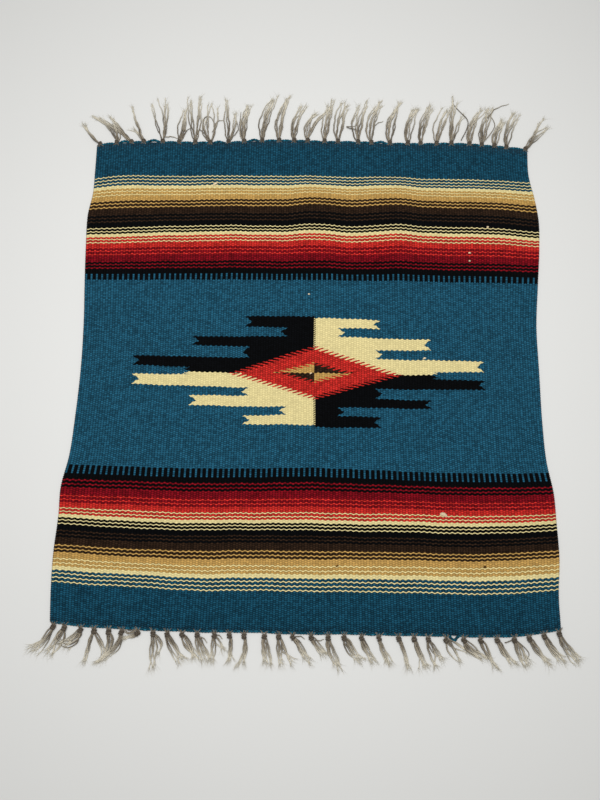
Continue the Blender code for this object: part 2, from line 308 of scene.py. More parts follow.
def lastWefts(ends):
    # the last weft of each end runs along it in scallops: at each knot the warps hold it in, and between two
    # knots it bulges by scallop sin(pi u)^0.7, with a few loops, each
    # reach exp(-((x - across) / half width)^2)
    warp = np.arange(0.6, clothPlan["warps"] - 0.5, 0.25)
    paths, radii, weaves = [], [], []
    for end, pick, scallop, loops in ends:
        x, y = (row[0] for row in clothPlace(warp, np.array([float(pick)])))
        knots = np.array([row[0] for row in end])
        place = np.clip(np.searchsorted(knots, x) - 1, 0, len(knots) - 2)
        u = np.clip((x - knots[place]) / (knots[place + 1] - knots[place]), 0, 1)
        out = scallop * np.sin(math.pi * u) ** 0.7 - clothPlan["lastInset"]
        for across, reach, half in loops:
            out = out + reach * np.exp(-((x - across) / half) ** 2)
        bead = np.cos(2 * math.pi * warp)
        outward = math.copysign(1, pick)
        y = y + outward * out
        z = rippleHeight(x, y) + clothPlan["thickness"] / 2 + 0.15 * bead
        paths.append(np.stack([x, y, z], axis=-1))
        radii.append(clothPlan["lastRadius"] * (1 + 0.12 * bead))
        kind = 0 * warp + weftKinds["last"]
        weaves.append(np.stack([warp, 0 * warp + pick - outward, kind], axis=-1))
    return np.array(paths), np.array(radii), np.array(weaves)


def fleckLumps():
    # a lump tapers to both ends: radius = half width sqrt(1 - t^2), t from -1 to 1 along it
    rows = np.array([row[:5] for row in flecks], float)
    x, y, long, wide, slant = (rows[:, k][:, None] for k in range(5))
    t = np.linspace(-1, 1, 9)[None, :]
    px = x + long * t * np.cos(np.radians(slant))
    py = y + long * t * np.sin(np.radians(slant)) + 0.25 * wide * np.cos(3 * t)
    pz = rippleHeight(px, py) + clothPlan["thickness"] + 0.1 + 0 * px
    kinds = np.array([weftKinds[row[5]] for row in flecks])[:, None] + 0 * px
    warp = clothPlan["warps"] * (px / clothPlan["guideHalf"] + 1) / 2
    radii = wide * np.sqrt(1.02 - t**2)
    return np.stack([px, py, pz], axis=-1), radii, np.stack([warp, py, kinds], axis=-1)


def weaveClothMesh(material):
    # one closed sheet: two grids of warp by pick, top and back, z = middle + or - half thickness, where the
    # half thickness is a rounded rib over each warp: share + (1 - share) sqrt(1 - (2 f - 1)^2), with f from 0
    # to 1 across the warp. The weft at the edges and the lumps are tubes in the same mesh
    columns = clothPlan["warps"] * clothPlan["columnsPerWarp"] + 1
    rows = clothPlan["rows"] + 1
    warp = np.linspace(0, clothPlan["warps"], columns)
    pick = np.linspace(-clothPlan["nearPicks"], clothPlan["farPicks"], rows)
    x, y = clothPlace(warp, pick)
    across = (warp % 1) * 2 - 1
    rib = clothPlan["grooveShare"] + (1 - clothPlan["grooveShare"]) * np.sqrt(1 - across**2)
    half = clothPlan["thickness"] / 2 * np.broadcast_to(rib, x.shape)
    middle = rippleHeight(x, y) + clothPlan["thickness"] / 2
    top = np.stack([x, y, middle + half], axis=-1)
    back = np.stack([x, y, middle - half], axis=-1)
    index = np.arange(rows * columns).reshape(rows, columns)
    under = index + rows * columns
    quads = [index[:-1, :-1], index[:-1, 1:], index[1:, 1:], index[1:, :-1]]
    faces = np.stack(quads, axis=-1).reshape(-1, 4)
    backFaces = (faces + rows * columns)[:, ::-1]
    rim = np.concatenate([index[0, :-1], index[:-1, -1], index[-1, :0:-1], index[:0:-1, 0]])
    rimUnder = np.concatenate([under[0, :-1], under[:-1, -1], under[-1, :0:-1], under[:0:-1, 0]])
    edge = np.stack([rim, rimUnder, np.roll(rimUnder, -1), np.roll(rim, -1)], axis=-1)
    place = np.stack(np.broadcast_arrays(warp[None, :], pick[:, None], weftKinds["woven"]), axis=-1)
    allFaces = np.concatenate([faces, backFaces, edge]).tolist()
    weave = [place.reshape(-1, 3)] * 2
    points = [top.reshape(-1, 3), back.reshape(-1, 3)]
    ends = (
        (farTassels, clothPlan["farPicks"], clothPlan["farScallop"], farLoops),
        (nearTassels, -clothPlan["nearPicks"], clothPlan["nearScallop"], nearLoops),
    )
    groups = ((turnsAtSelvedges(), 6, 1.0), (lastWefts(ends), 6, 1.0), (fleckLumps(), 8, 0.5))
    for (centres, radii, woven), sides, flatten in groups:
        used = sum(len(part) for part in points)
        points.append(tubeArrays(centres, radii, sides, up, flatten).reshape(-1, 3))
        weave.append(np.repeat(woven.reshape(-1, 3), sides, axis=0))
        grid = tubeFaces(len(centres), centres.shape[1], sides)
        allFaces += [[used + corner for corner in face] for face in grid]
    woven = {"weave": np.concatenate(weave)}
    return makePiece("wovenCloth", np.concatenate(points), allFaces, material, woven)


# the weft's colours, as dyed wool
woolColours = {
    "fieldBlue": "#1E5168",
    "endBlue": "#15455A",
    "black": "#040507",
    "crimson": "#750B17",
    "red": "#C02B25",
    "cream": "#ECDC9F",
    "brown": "#2C1E14",
    "tan": "#C29A56",
    "slub": "#EAD6B2",
    "straw": "#6E4E22",
    "lastBlue": "#1C5D72",
}

# the stripes from the field's middle outwards, the same to both ends: the colours of the first and second of
# each two pairs of picks, and how many pairs
stripeRows = (
    ("fieldBlue", "fieldBlue", 51),
    ("fieldBlue", "fieldBlue", 4),  # the teeth lie over these
    ("black", "black", 3),
    ("crimson", "black", 4),
    ("crimson", "crimson", 4),
    ("red", "crimson", 4),
    ("red", "red", 3),
    ("cream", "red", 4),
    ("cream", "cream", 2),
    ("black", "cream", 4),
    ("black", "black", 3),
    ("brown", "black", 4),
    ("brown", "brown", 4),
    ("tan", "brown", 4),
    ("tan", "tan", 3),
    ("cream", "tan", 4),
    ("cream", "cream", 2),
    ("endBlue", "cream", 6),
    ("endBlue", "endBlue", 23),
)
teethPairs = (51, 55)

# how the wool takes the light: depth and power of the shade painted in each groove, and relief in millimetres
woolPlan = {
    "brightness": 1.29,
    "ribShade": (0.62, 2.2),
    "floatShade": (0.8, 2.0),
    "paleShade": 0.81,
    "floatDome": 0.45,
    "fibreRelief": 0.16,
}

# the stepped figure in the field: its outline is how many warps it reaches out from its middle, at picks from
# the middle. Picks above 0 are its dark quarters and those below 0 its pale ones, turned for the other side
figurePlan = {
    "middleWarp": 90,  # where the dark and pale halves join, and the diamond's middle
    "stepsMiddle": 89.1,  # the bars reach out from here
    "stepsDrift": 0.0004,  # and drift to the left by this times the reach squared, as the weaver's count did
    # from pick, to pick, reach, and which way the end's middle is drawn: -1 a swallow tail, 1 a point
    "bars": (
        (-58, -48, 26.5, -1), (-48, -38, 9.5, 1), (-38, -26, 46.5, -1), (-26, -16, 24, 1),
        (-15.5, -3.5, 67.5, -1), (-3.5, 0, 46, 1), (0, 5, 46, 1), (5, 16, 68, -1), (16, 28, 24, 1),
        (28, 38, 46.5, -1), (38, 48, 9.5, 1), (48, 60, 26.6, -1),
    ),
    "notch": 3.0,  # how many warps an end's middle is drawn in or out
    "edgeSlope": 0.2,  # the picks over which a bar's edge steps
    "tall": 64.0,  # picks from the middle that the outline covers
    "wide": 80.0,  # and warps
    # half width in warps, half height in picks, how far the strokes reach as a share, and the middle pick
    "diamond": (31.2, 27.5, 0.085, 0.0),
    "eye": (13.7, 9.8, 0.17, 0.8),
    "strokeSlope": (0.2, 0.7),  # picks a warp: the strokes rise to the right, or fall beyond either axis
    "strokePitch": (3.25, 0.25),  # picks from stroke to stroke
    "combTeeth": 0.4,  # how far the two halves' picks reach into each other at the join, in warps
}


def figureOutline():
    # the outline's corners: each bar from edge to edge, its end's middle drawn in or out
    bars, slope, tall = figurePlan["bars"], figurePlan["edgeSlope"], figurePlan["tall"]
    corners = [(-tall, 0.0), (bars[0][0] - slope, 0.0)]
    for low, high, reach, drawn in bars:
        middle = reach + drawn * figurePlan["notch"]
        corners += [(low + slope, reach), ((low + high) / 2, middle), (high - slope, reach)]
    return corners + [(bars[-1][1] + slope, 0.0), (tall, 0.0)]


def woolWeave():
    # Hand-dyed wool, woven weft-faced in plain weave: matt, ribbed along the warp every 2.89 mm, each rib
    # covered by short floats two picks (about 2.1 mm) high that step by one pick from rib to rib, so lines
    # look wavy. Shades drift from yarn to yarn, and painted shade darkens the grooves between ribs and
    # floats.
    material, add, shader = newMaterial("wovenWool", 0.95, 0.02)
    tree = material.node_tree
    colours = {name: linearColour(value) for name, value in woolColours.items()}
    weave = add("Attribute", attribute_name="weave").outputs["Vector"]
    place = add("SeparateXYZ", {0: weave})
    warp, pick, kind = (place.outputs[axis] for axis in "XYZ")
    warpIndex = add("Math", {0: warp}, operation="FLOOR")
    acrossRib = add("Math", {0: warp}, operation="FRACT")
    oddWarp = add("Math", {0: warpIndex, 1: 2.0}, operation="MODULO")
    # the step from rib to rib: 0 in the middle of even ribs, one pick down in the middle of odd ones
    turn = add("Math", {0: warp, 1: math.pi, 2: -math.pi / 2}, operation="MULTIPLY_ADD")
    swing = add("Math", {0: turn}, operation="COSINE")
    step = add("Math", {0: swing, 1: 0.5, 2: -0.5}, operation="MULTIPLY_ADD")
    picksUp = add("Math", {0: pick, 1: step}, operation="ADD")
    pairs = add("Math", {0: picksUp, 1: 0.5}, operation="MULTIPLY")
    pair = add("Math", {0: pairs}, operation="FLOOR")
    alongFloat = add("Math", {0: pairs}, operation="FRACT")
    pairMiddle = add("Math", {0: pair, 1: 0.5}, operation="ADD")
    fromMiddle = add("Math", {0: pairMiddle}, operation="ABSOLUTE")
    oddPair = add("Math", {0: add("Math", {0: fromMiddle}, operation="FLOOR"), 1: 2.0}, operation="MODULO")
    # how far a point is from the middle of its rib, and from the middle of its float: |2 f - 1|
    spans = []
    for part in (acrossRib, alongFloat):
        centred = add("Math", {0: part, 1: 2.0, 2: -1.0}, operation="MULTIPLY_ADD")
        spans.append(add("Math", {0: centred}, operation="ABSOLUTE"))
    fromRib, fromFloat = spans

    # stripes: one colour ramp for even pairs and one for odd ones
    total = sum(row[2] for row in stripeRows)
    share = add("Math", {0: fromMiddle, 1: 1 / total}, operation="MULTIPLY")
    ramps = []
    for odd in (0, 1):
        ramp = add("ValToRGB", {0: share})
        ramp.color_ramp.interpolation = "CONSTANT"
        begin = 0
        for number, (first, second, count) in enumerate(stripeRows):
            name = first if (begin + odd) % 2 == 0 else second
            elements = ramp.color_ramp.elements
            element = elements[0] if number == 0 else elements.new(begin / total)
            if number == 0:
                elements.remove(elements[-1])
            element.color = colours[name]
            begin += count
        ramps.append(ramp)
    stripes = add("Mix", {0: oddPair, 6: ramps[0], 7: ramps[1]}, data_type="RGBA")
    # a pale yarn sinks between dark ones, so its line looks narrower, and the paler it is the more so
    darker = add("Mix", {0: 1.0, 6: ramps[0], 7: ramps[1]}, data_type="RGBA", blend_type="DARKEN")
    hidden = add("Math", {0: add("RGBToBW", {0: stripes}), 1: 0.34, 2: fromFloat}, operation="MULTIPLY_ADD")
    sunk = add("MapRange", {0: hidden, 1: 0.67, 2: 0.81, 3: 0.0, 4: 1.0})
    stripes = add("Mix", {0: sunk, 6: stripes, 7: darker}, data_type="RGBA")

    # teeth: picks that take turns between black and blue cover every second rib in each colour
    low, high = teethPairs
    inTeeth = add("Math", {0: fromMiddle, 1: (low + high) / 2, 2: (high - low) / 2}, operation="COMPARE")
    overlap = add("MapRange", {0: fromRib, 1: 0.6, 2: 0.75, 3: 0.0, 4: 1.0})
    covered = add("Math", {0: oddWarp, 1: overlap}, operation="MAXIMUM")
    tooth = add("Math", {0: inTeeth, 1: covered}, operation="MULTIPLY")
    toothed = add("Mix", {0: tooth, 6: stripes, 7: colours["black"]}, data_type="RGBA")

    # the figure: places counted in warps and picks from its middle, along the stepped floats
    upperPick = add("Math", {0: alongFloat, 1: 0.5}, operation="GREATER_THAN")
    hatch = add("Math", {0: upperPick, 1: 0.5}, operation="SUBTRACT")
    join = add("Math", {0: warp, 1: float(figurePlan["middleWarp"])}, operation="SUBTRACT")
    reach = add("Math", {0: join}, operation="ABSOLUTE")
    fromSteps = add("Math", {0: warp, 1: figurePlan["stepsMiddle"]}, operation="SUBTRACT")
    squared = add("Math", {0: fromSteps, 1: fromSteps}, operation="MULTIPLY")
    drifted = add("Math", {0: squared, 1: figurePlan["stepsDrift"], 2: fromSteps}, operation="MULTIPLY_ADD")
    stepsReach = add("Math", {0: drifted}, operation="ABSOLUTE")
    comb = add("Math", {0: hatch, 1: 2 * figurePlan["combTeeth"], 2: join}, operation="MULTIPLY_ADD")
    side = add("Math", {0: comb}, operation="SIGN")
    sided = add("Math", {0: side, 1: picksUp}, operation="MULTIPLY")
    turned = add("Math", {0: sided, 1: -1.0}, operation="MULTIPLY")
    tall, wide = figurePlan["tall"], figurePlan["wide"]
    height = add("Math", {0: turned, 1: 0.5 / tall, 2: 0.5}, operation="MULTIPLY_ADD")
    outline = add("FloatCurve", {1: height})
    curve = outline.mapping.curves[0]
    corners = [((at / tall + 1) / 2, out / wide) for at, out in figureOutline()]
    curve.points[0].location = corners[0]
    curve.points[1].location = corners[-1]
    for corner in corners[1:-1]:
        curve.points.new(*corner)
    for point in curve.points:
        point.handle_type = "VECTOR"
    outline.mapping.update()
    extent = add("Math", {0: outline, 1: wide}, operation="MULTIPLY")
    inFigure = add("Math", {0: stepsReach, 1: extent}, operation="LESS_THAN")
    pale = add("Math", {0: turned, 1: 0.0}, operation="LESS_THAN")
    quarters = add("Mix", {0: pale, 6: colours["black"], 7: colours["cream"]}, data_type="RGBA")
    figured = add("Mix", {0: inFigure, 6: toothed, 7: quarters}, data_type="RGBA")

    # the diamond and its eye: |warps| / half width + |picks| / half height + share * stroke < 1, where the
    # strokes of yarn that cross the edge slant: stroke = sin(2 pi (picks - slope * warps) / pitch), steepened
    crossed = add("Math", {0: add("Math", {0: join, 1: pick}, operation="MULTIPLY")}, operation="SIGN")
    slopeMiddle, slopeTurn = figurePlan["strokeSlope"]
    pitchMiddle, pitchTurn = figurePlan["strokePitch"]
    slope = add("Math", {0: crossed, 1: slopeTurn, 2: slopeMiddle}, operation="MULTIPLY_ADD")
    pitch = add("Math", {0: crossed, 1: pitchTurn, 2: pitchMiddle}, operation="MULTIPLY_ADD")
    rise = add("Math", {0: slope, 1: join}, operation="MULTIPLY")
    aslant = add("Math", {0: pick, 1: rise}, operation="SUBTRACT")
    phase = add("Math", {0: aslant, 1: pitch}, operation="DIVIDE")
    wave = add("Math", {0: add("Math", {0: phase, 1: 2 * math.pi}, operation="MULTIPLY")}, operation="SINE")
    stroke = add("MapRange", {0: wave, 1: -0.5, 2: 0.5, 3: -1.0, 4: 1.0})
    corner = add("Math", {0: join, 1: picksUp}, operation="MULTIPLY")
    quadrant = add("Math", {0: corner, 1: 0.0}, operation="LESS_THAN")
    eyeColour = add("Mix", {0: quadrant, 6: colours["brown"], 7: colours["tan"]}, data_type="RGBA")
    painted = figured
    for size, fill in (("diamond", colours["red"]), ("eye", eyeColour)):
        halfWide, halfHigh, crossing, middle = figurePlan[size]
        picksFrom = add("Math", {0: pick, 1: middle}, operation="SUBTRACT")
        picksOff = add("Math", {0: picksFrom}, operation="ABSOLUTE")
        stroked = add("Math", {0: stroke, 1: crossing}, operation="MULTIPLY")
        sideways = add("Math", {0: reach, 1: 1 / halfWide, 2: stroked}, operation="MULTIPLY_ADD")
        distance = add("Math", {0: picksOff, 1: 1 / halfHigh, 2: sideways}, operation="MULTIPLY_ADD")
        inside = add("Math", {0: distance, 1: 1.0}, operation="LESS_THAN")
        painted = add("Mix", {0: inside, 6: painted, 7: fill}, data_type="RGBA")
    # the lumps and the last weft have plain colours
    for name, colour in (("pale", "slub"), ("straw", "straw"), ("last", "lastBlue")):
        plain = add("Math", {0: kind, 1: weftKinds[name], 2: 0.5}, operation="COMPARE")
        painted = add("Mix", {0: plain, 6: painted, 7: colours[colour]}, data_type="RGBA")

    # shade: each float, each pass of yarn, slow drifts of the dye, and the fibres
    cell = add("CombineXYZ", {0: warpIndex, 1: pair})
    floatTone = add("TexWhiteNoise", {0: cell}, noise_dimensions="2D")
    passNumber = add("Math", {0: pair, 1: 2.0, 2: oddWarp}, operation="MULTIPLY_ADD")
    passTone = add("TexWhiteNoise", {1: passNumber}, noise_dimensions="1D")
    # how often each pattern of shade turns, for a warp and for a pick, and its detail and roughness
    patterns = {}
    for name, scale, detail, rough in (
        ("drift", (0.035, 0.09, 1.0), 3.0, 0.5),
        ("fibres", (1.4, 2.6, 1.0), 4.0, 0.65),
        ("streaks", (0.9, 0.05, 1.0), 2.0, 0.5),
    ):
        scaled = add("Mapping", {0: weave, 3: scale})
        patterns[name] = add("TexNoise", {0: scaled, 2: 1.0, 3: detail, 4: rough})
    # tone = brightness + the sum of amount * (source - 1/2)
    amounts = (
        (floatTone, 0.90),
        (passTone, 0.14),
        (patterns["drift"], 0.16),
        (patterns["fibres"], 0.70),
        (patterns["streaks"], 0.50),
    )
    tone = woolPlan["brightness"] - sum(amount for _, amount in amounts) / 2
    for source, amount in amounts:
        tone = add("Math", {0: source, 1: amount, 2: tone}, operation="MULTIPLY_ADD")
    # painted shade in the grooves: 1 - depth |2 f - 1|^power, across the rib and along the float
    grooveShades = []
    for span, shadeDepth, power in ((fromRib, *woolPlan["ribShade"]), (fromFloat, *woolPlan["floatShade"])):
        raised = add("Math", {0: span, 1: power}, operation="POWER")
        grooveShades.append(add("Math", {0: raised, 1: -shadeDepth, 2: 1.0}, operation="MULTIPLY_ADD"))
    grooveShade = add("Math", {0: grooveShades[0], 1: grooveShades[1]}, operation="MULTIPLY")
    lit = add("Math", {0: tone, 1: grooveShade}, operation="MULTIPLY")
    # on pale wool the painted groove shade and the tone noise are blended towards a flat shade, so its floats
    # differ less
    paleness = add("MapRange", {0: add("RGBToBW", {0: painted}), 1: 0.04, 2: 0.5, 3: 0.0, 4: 0.75})
    shade = add("Mix", {0: paleness, 2: lit, 3: woolPlan["paleShade"]})
    finished = add("HueSaturation", {"Color": painted, "Value": shade})
    tree.links.new(finished.outputs[0], shader.inputs["Base Color"])

    # relief in millimetres: each float a low dome, with the profile of the painted groove shade, and its
    # fibres
    relief = add("Math", {0: grooveShade, 1: woolPlan["floatDome"]}, operation="MULTIPLY")
    fibrous = woolPlan["fibreRelief"]
    relief = add("Math", {0: patterns["fibres"], 1: fibrous, 2: relief}, operation="MULTIPLY_ADD")
    bump = add("Bump", {"Strength": 1.0, "Distance": mm, "Height": relief})
    tree.links.new(bump.outputs[0], shader.inputs["Normal"])
    return material


# The fringes

# tassels: where the knot is across the end, then for each of its locks how far its tips lean to the right,
# how far they reach out, how far the lock bows to the right on its way, and its width if not the usual one
farTassels = (
    (-250.5, ((-22, 27, -2, 2.5),)),
    (-231, ((-7, 26, 3, 6), (-34, 38, 9, 5))),
    (-213.5, ((-27, 34, 0, 6), (-46, 36, 5, 5))),
    (-199, ((-14, 17, 1, 5), (-19, 49, -1, 2.5))),
    (-176.5, ((-18, 59, -2, 2), (-5, 59, 2, 5), (4, 50, 2, 5), (-3, 57, 1, 5), (1, 54, 1, 5))),
    (-157, ((6, 49, -2), (3, 44, 2))),
    (-138, ((-8, 63, -2, 7), (2, 63, 1, 6))),
    (-120, ((-9, 36, -3), (-3, 60, 0), (7, 48, 2))),
    (-98.5, ((-5, 59, -1, 6), (7, 43, 2, 5))),
    (-80, ((6, 53, -2), (3, 49, -3))),
    (-58.5, ((9, 58, -3), (14, 62, -2))),
    (-38.5, ((13, 64, -3), (9, 58, -4))),
    (-20.5, ((14, 49, -3), (10, 47, -4))),
    (-4.5, ((30, 45, -6), (12, 43, -4))),
    (15.5, ((12, 60, -3), (8, 56, -4))),
    (31.5, ((9, 59, -3), (12, 52, -2))),
    (55.5, ((12, 56, -3), (2, 51, -4))),
    (71, ((14, 59, -4), (11, 54, -5))),
    (93, ((15, 58, -4), (12, 52, -5))),
    (114.5, ((16, 51, -4), (11, 49, -4))),
    (129.5, ((13, 56, -3), (16, 50, -3))),
    (148.5, ((22, 52, -5), (15, 49, -5))),
    (166, ((4, 65, -1), (19, 42, -4), (12, 58, -3))),
    (187.5, ((19, 49, -5), (14, 45, -4))),
    (202, ((12, 53, -3), (18, 50, -3))),
    (217, ((13, 36, -3),)),
    (231, ((15, 51, -4), (19, 46, -4))),
    (253.5, ((24, 42, -4), (31, 32, -3))),
)
nearTassels = (
    (-252, ((-25, 22, 2), (-16, 25, 1), (-20, 24, 2))),
    (-241, ((-16, 25, 1), (-10, 26, 1))),
    (-224.6, ((-15, 17, 4), (-19, 15, 5))),
    (-211, ((-6, 29, -2), (12, 23, 1))),
    (-196.4, ((-7, 30, 5), (-4, 27, 4))),
    (-183.6, ((-24, 29, 5), (-17, 26, 4))),
    (-167.6, ((-13, 5, 1),)),
    (-152, ((-1, 33, 1), (5, 19, 3))),
    (-138, ((14, 26, -1), (20, 24, -1))),
    (-123, ((18, 23, -2), (12, 22, 0))),
    (-108, ((9, 25, -1), (13, 22, 0))),
    (-91, ((-1, 25, 1), (7, 13, 1))),
    (-76, ((-1, 25, 0), (2, 22, 1))),
    (-61.5, ((-5, 29, 1), (0, 26, 1))),
    (-41.4, ((0, 24, 0), (8, 28, 0))),
    (-27, ((2, 26, 0), (15, 24, -1))),
    (-13, ((19, 23, -2), (12, 22, -1))),
    (5.5, ((16, 16, -1), (10, 17, 0))),
    (22, ((13, 30, -2), (9, 26, -1))),
    (38, ((18, 23, -2), (13, 22, -1))),
    (55.4, ((13, 23, -1), (9, 21, 0))),
    (72.7, ((12, 25, -1), (8, 22, 0))),
    (92.3, ((11, 27, -1), (8, 24, 0))),
    (107.5, ((7, 28, 0), (11, 25, 0))),
    (121.6, ((6, 27, 0), (13, 19, 0))),
    (139, ((20, 11, -2), (12, 20, -1))),
    (157, ((22, 19, -2), (16, 19, -1))),
    (173.5, ((17, 26, -2), (13, 23, -1))),
    (190, ((18, 22, -1), (13, 22, -1))),
    (207, ((10, 26, -1), (13, 22, 0))),
    (222, ((19, 24, -1), (15, 22, -1))),
    (237, ((20, 24, -2), (15, 23, -1))),
    (252, ((16, 28, -1), (22, 26, -1))),
)

# single yarns that stray from their tassel, over or into its neighbours: places across and along
farStrays = (
    ((-174, 281), (-166, 282), (-159, 280)),
    ((-154, 280), (-150, 289), (-143, 296)),
    ((-134, 292), (-130, 289), (-124, 282)),
    ((-122, 280), (-129, 292), (-130, 303), (-126, 310), (-120, 308), (-116, 298)),
    ((-118, 288), (-114, 302), (-106, 306)),
    ((-97, 280), (-89, 289), (-88, 298), (-92, 309)),
    ((-82, 280), (-86, 300), (-85, 317)),
    ((53, 294), (42, 298), (54, 300)),
    ((73, 292), (77, 302), (86, 307)),
    ((178, 281), (185, 297), (187, 309), (179, 320), (171, 331), (170, 342)),
    ((203, 279), (215, 293), (219, 303), (217, 312), (210, 322)),
    ((211, 312), (221, 325), (238, 333)),
)
nearStrays = (
    ((-226, -273), (-228, -281), (-238, -285), (-247, -282)),
    ((-225, -275), (-227, -284), (-236, -288), (-248, -284)),
    ((-225, -276), (-227, -286), (-236, -291), (-249, -286)),
    ((-168, -271), (-175, -276), (-180, -274), (-184, -270)),
    ((-168, -272), (-175, -277), (-181, -275), (-185, -271)),
    ((-169, -270), (-175, -274), (-180, -272), (-184, -269)),
    ((-109, -279), (-102, -280), (-98, -285)),
    ((-94, -278), (-87, -277), (-83, -281)),
    ((-14, -279), (-6, -277), (-1, -280)),
    ((3, -280), (12, -281), (18, -280)),
    ((197, -280), (207, -278), (215, -283), (221, -290), (219, -295)),
)

fringePlan = {
    "yarns": 8,  # warp yarns in a tassel
    "yarnRadius": 0.62,
    "sides": 6,
    "stations": 26,
    "crimp": 0.5,  # how far a yarn waves from side to side
    "crimpLength": 23.0,
    "lift": 1.3,  # how high the uppermost yarns ride over the lower ones
    "hairs": 7,  # loose fibres at each tip
    "hairRadius": 0.14,
    "knotRadius": 1.85,
    "knotTurns": 3,
    "turnSpacing": 1.55,
    "turnRadius": 0.98,
    "knotHeight": 2.1,
    "necks": 5,  # gathers of warp that run into each knot
    "neckRadius": 0.42,
    "strayRadius": 0.5,
}
# for each end: its last pick, which way is outwards, how far off the cloth its knots are, how far to both
# sides the warps of a knot come from, and how wide a lock opens
farEnd = {
    "name": "longFringe",
    "node": "long_fringe",
    "tassels": farTassels,
    "strays": farStrays,
    "line": clothPlan["farPicks"],
    "outward": 1,
    "knotOffset": 2.0,
    "neckSpread": 3.0,
    "width": 10.0,
    "seed": 11,
}
nearEnd = {
    "name": "shortFringe",
    "node": "short_fringe",
    "tassels": nearTassels,
    "strays": nearStrays,
    "line": -clothPlan["nearPicks"],
    "outward": -1,
    "knotOffset": 4.2,
    "neckSpread": 3.6,
    "width": 7.5,
    "seed": 23,
}


def edgeAt(end, across):
    # how far along the cloth its end's outer edge is
    return curveThrough(pickLines["across"], pickLines[end["line"]], across)


def yarnPaths(end, draw):
    # a yarn runs from inside its knot out to its lock's tip, with its sideways part square to the lean:
    # across = lean t + 4 bow t (1 - t) + side * width / 2 * sin(pi t^0.8) + crimp, out = reach t, and the
    # height falls to the floor within the first few millimetres
    plan = fringePlan
    t = np.linspace(0, 1, plan["stations"])[None, :]
    starts, goals = [], []
    for knot, locks in end["tassels"]:
        for yarn in range(plan["yarns"]):
            starts.append(knot)
            goals.append((*locks[yarn % len(locks)], end["width"])[:4])
    knot = np.array(starts)[:, None]
    lean, reach, bow, width = np.array(goals, float).T[:, :, None]
    count = len(knot)
    length = draw.uniform(0.84, 1.03, (count, 1))
    s = t * length
    side = draw.uniform(-1, 1, (count, 1))
    belly = side * width / 2 * np.sin(math.pi * np.minimum(s, 1) ** 0.8)
    belly = belly + draw.uniform(-0.2, 0.2, (count, 1)) * width * s**1.5
    along = 2 * math.pi * s * reach / plan["crimpLength"]
    longWave = np.sin(along + draw.uniform(0, 6.28, (count, 1)))
    shortWave = np.sin(along / 0.43 + draw.uniform(0, 6.28, (count, 1)))
    wave = plan["crimp"] * np.minimum(s * 6, 1) * (longWave + 0.5 * shortWave)
    stray = draw.normal(0, 1.6, (count, 1)) * s**2.5
    sideways = belly + wave + stray
    slant = np.arctan2(lean, reach)
    x = knot + lean * s + 4 * bow * s * (1 - s) + sideways * np.cos(slant)
    out = reach * s - sideways * np.sin(slant) - 0.8
    y = edgeAt(end, knot) + end["outward"] * (end["knotOffset"] + out)
    layer = draw.uniform(0, 1, (count, 1))
    arch = 0.35 + 0.65 * np.sin(math.pi * np.clip(s * 1.1, 0, 1))
    ride = plan["yarnRadius"] + plan["lift"] * layer * arch
    root = 1.75 + 0.5 * (layer - 0.5)
    fall = np.exp(-(s * reach / 5.0) ** 2)
    z = ride * (1 - fall) + root * fall + 0.25 * layer * np.sin(2 * math.pi * s * reach / 9 + 5 * layer)
    z = np.maximum(z, plan["yarnRadius"] * 0.9)
    taper = 1 - 0.45 * np.clip(s * 2.6 - 1.6, 0, 1)
    radii = plan["yarnRadius"] * draw.uniform(0.85, 1.15, (count, 1)) * taper
    return np.stack([x, y, z], axis=-1), radii


def hairPaths(centres, draw):
    # loose fibres run on from each tip: tip + length (forward t + sideways drift t^2), thinning to nothing
    plan = fringePlan
    tip = np.repeat(centres[:, -3], plan["hairs"], axis=0)
    forward = np.repeat(centres[:, -1] - centres[:, -5], plan["hairs"], axis=0)
    forward[:, 2] = 0
    forward /= np.linalg.norm(forward, axis=1, keepdims=True)
    aside = np.cross(forward, up)
    count = len(tip)
    t = np.linspace(0, 1, 6)[None, :, None]
    length = draw.uniform(4, 11, (count, 1, 1))
    splay = draw.normal(0, 0.22, (count, 1, 1))
    curl = draw.normal(0, 0.22, (count, 1, 1))
    path = tip[:, None] + length * (forward[:, None] * t + aside[:, None] * (splay * t + curl * t**2))
    path[:, :, 2] = np.maximum(path[:, :, 2] + draw.uniform(-0.3, 0.8, (count, 1)) * t[:, :, 0], 0.15)
    radii = plan["hairRadius"] * (1.05 - t[:, :, 0]) * np.ones((count, 1))
    return path, radii


